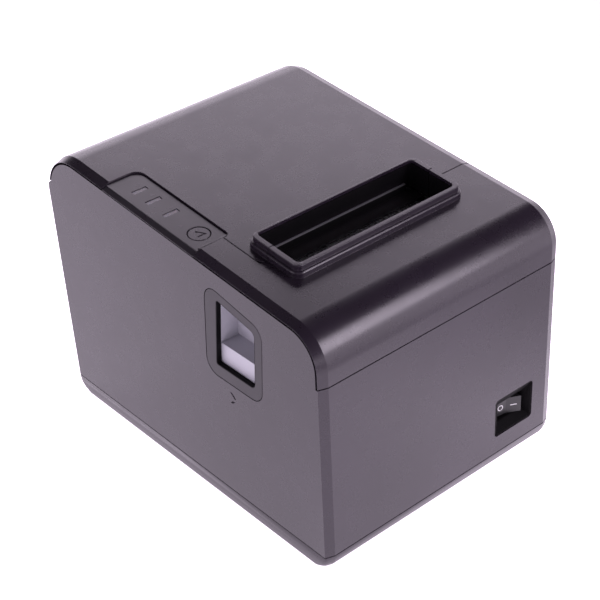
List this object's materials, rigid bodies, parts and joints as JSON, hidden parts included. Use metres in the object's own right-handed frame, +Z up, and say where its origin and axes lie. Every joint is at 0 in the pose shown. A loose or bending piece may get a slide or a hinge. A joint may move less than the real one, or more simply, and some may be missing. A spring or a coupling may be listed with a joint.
{
  "type": "receipt printer",
  "caption": "Desktop thermal receipt printer with a rear-hinged lid, raised paper slot, side release lever, indicator panel and front power switch.",
  "frame": {"origin": "centre of the case in X and Y, on the surface the feet stand on", "axes": "+X to the right seen from the front, +Y to the rear (front face towards -Y), +Z up"},
  "size_m": [0.14, 0.1904, 0.1358],
  "materials": {
    "case_plastic": "fine spark texture, satin",
    "trim_plastic": "fine spark texture, satin",
    "bezel_plastic": "fine spark texture, matte",
    "matte_black": "dead matte black",
    "inner_plastic": "matte",
    "lever_plastic": "satin light grey",
    "black_plastic": "semi gloss",
    "mark_paint": "printed",
    "faint_paint": "printed, close to the plastic's own tone",
    "clear_plastic": "milky light pipe",
    "rubber": "matte",
    "steel": "zinc plated sheet",
    "bright_steel": "nickel plated",
    "blade_steel": "ground steel",
    "head_aluminium": "extruded",
    "ceramic": "glazed ceramic",
    "motor_metal": "plated can",
    "brass": "turned",
    "gear_plastic": "moulded acetal",
    "board": "solder mask",
    "flex": "flexible flat cable"
  },
  "bodies": {
    "base": {"base_tray": "case_plastic", "rubber_feet": "rubber", "base_screws": "bright_steel", "body_shell": "case_plastic", "lever_bezel": "bezel_plastic", "lever_collar": "matte_black", "front_cover": "case_plastic", "exit_guide_front": "matte_black", "indicator_panel": "trim_plastic", "panel_marks": "faint_paint", "light_pipes": "clear_plastic", "panel_board": "board", "paper_bin": "inner_plastic", "near_end_sensor": "black_plastic", "print_chassis": "steel", "head_pivot": "bright_steel", "head_springs": "bright_steel", "feed_motor": "motor_metal", "idler_pin": "bright_steel", "cutter_frame": "steel", "cutter_motor": "motor_metal", "main_board": "board", "board_parts": "black_plastic", "board_screws": "bright_steel", "head_ribbon": "flex", "power_switch": "matte_black", "dc_jack": "black_plastic", "usb_port": "steel", "lan_port": "steel", "drawer_port": "black_plastic", "serial_port": "steel", "port_plate": "steel", "hinge_pins": "bright_steel", "lever_spring": "bright_steel"},
    "lid_body": {"lid": "case_plastic", "exit_guide_rear": "matte_black", "lid_liner": "inner_plastic", "lid_screws": "bright_steel", "platen_holder": "inner_plastic", "platen_bushes": "gear_plastic", "tear_bar": "blade_steel", "fixed_blade": "blade_steel"},
    "platen": {"platen_roller": "rubber", "platen_shaft": "bright_steel", "platen_gear": "gear_plastic"},
    "idler": {"idler_gear": "gear_plastic"},
    "feed_rotor": {"motor_pinion": "brass"},
    "head": {"head_bracket": "head_aluminium", "thermal_head": "ceramic"},
    "blade": {"cutter_blade": "blade_steel"},
    "blade_drive": {"cutter_shaft": "bright_steel"},
    "cutter_rotor": {"cutter_pinion": "brass"},
    "button": {"feed_button": "case_plastic"},
    "rocker": {"power_rocker": "black_plastic", "rocker_marks": "mark_paint"},
    "release": {"open_lever": "lever_plastic", "release_shaft": "bright_steel", "latch_hooks": "steel"}
  },
  "joints": [
    {"name": "lid_hinge", "type": "hinge", "parent": "base", "child": "lid_body", "pos_m": [0, 0.08995, 0.1065], "axis": [-1, 0, 0], "range_deg": [0, 90]},
    {"name": "platen_spin", "type": "hinge", "parent": "lid_body", "child": "platen", "pos_m": [0, -0.034, 0.104], "axis": [1, 0, 0], "continuous": true},
    {"name": "idler_spin", "type": "hinge", "parent": "base", "child": "idler", "pos_m": [0, -0.034, 0.0824], "axis": [1, 0, 0], "continuous": true},
    {"name": "feed_motor_spin", "type": "hinge", "parent": "base", "child": "feed_rotor", "pos_m": [0, -0.04, 0.06543], "axis": [1, 0, 0], "continuous": true},
    {"name": "head_swing", "type": "hinge", "parent": "base", "child": "head", "pos_m": [0, -0.0465, 0.08], "axis": [1, 0, 0], "range_deg": [0, 2], "stiffness_Nm_per_rad": 5, "springref_deg": -1.72, "deforming": ["head_springs"]},
    {"name": "blade_slide", "type": "slide", "parent": "base", "child": "blade", "axis": [0, 1, 0], "range_m": [0, 0.012]},
    {"name": "blade_drive_spin", "type": "hinge", "parent": "base", "child": "blade_drive", "pos_m": [0, -0.072, 0.107], "axis": [1, 0, 0], "range_deg": [-120, 1]},
    {"name": "cutter_motor_spin", "type": "hinge", "parent": "base", "child": "cutter_rotor", "pos_m": [0, -0.072, 0.09255], "axis": [1, 0, 0], "range_deg": [-1, 240]},
    {"name": "feed_button_press", "type": "slide", "parent": "base", "child": "button", "axis": [0, 0.0906, -0.9959], "range_m": [0, 0.0011], "stiffness_N_per_m": 400, "springref_m": -0.002},
    {"name": "power_rocker_tilt", "type": "hinge", "parent": "base", "child": "rocker", "pos_m": [0.0461, -0.08735, 0.0257], "axis": [0, 0, 1], "range_deg": [0, 20]},
    {"name": "release_pull", "type": "hinge", "parent": "base", "child": "release", "pos_m": [0, -0.0445, 0.069], "axis": [1, 0, 0], "range_deg": [0, 10], "stiffness_Nm_per_rad": 0.3, "springref_deg": -8.59}
  ],
  "couplings": [
    {"joint": "idler_spin", "follows": "platen_spin", "ratio": -0.8},
    {"joint": "feed_motor_spin", "follows": "platen_spin", "ratio": 1.6},
    {"joint": "blade_drive_spin", "follows": "blade_slide", "rad_per_m": -166.67},
    {"joint": "cutter_motor_spin", "follows": "blade_slide", "rad_per_m": 333.33}
  ]
}
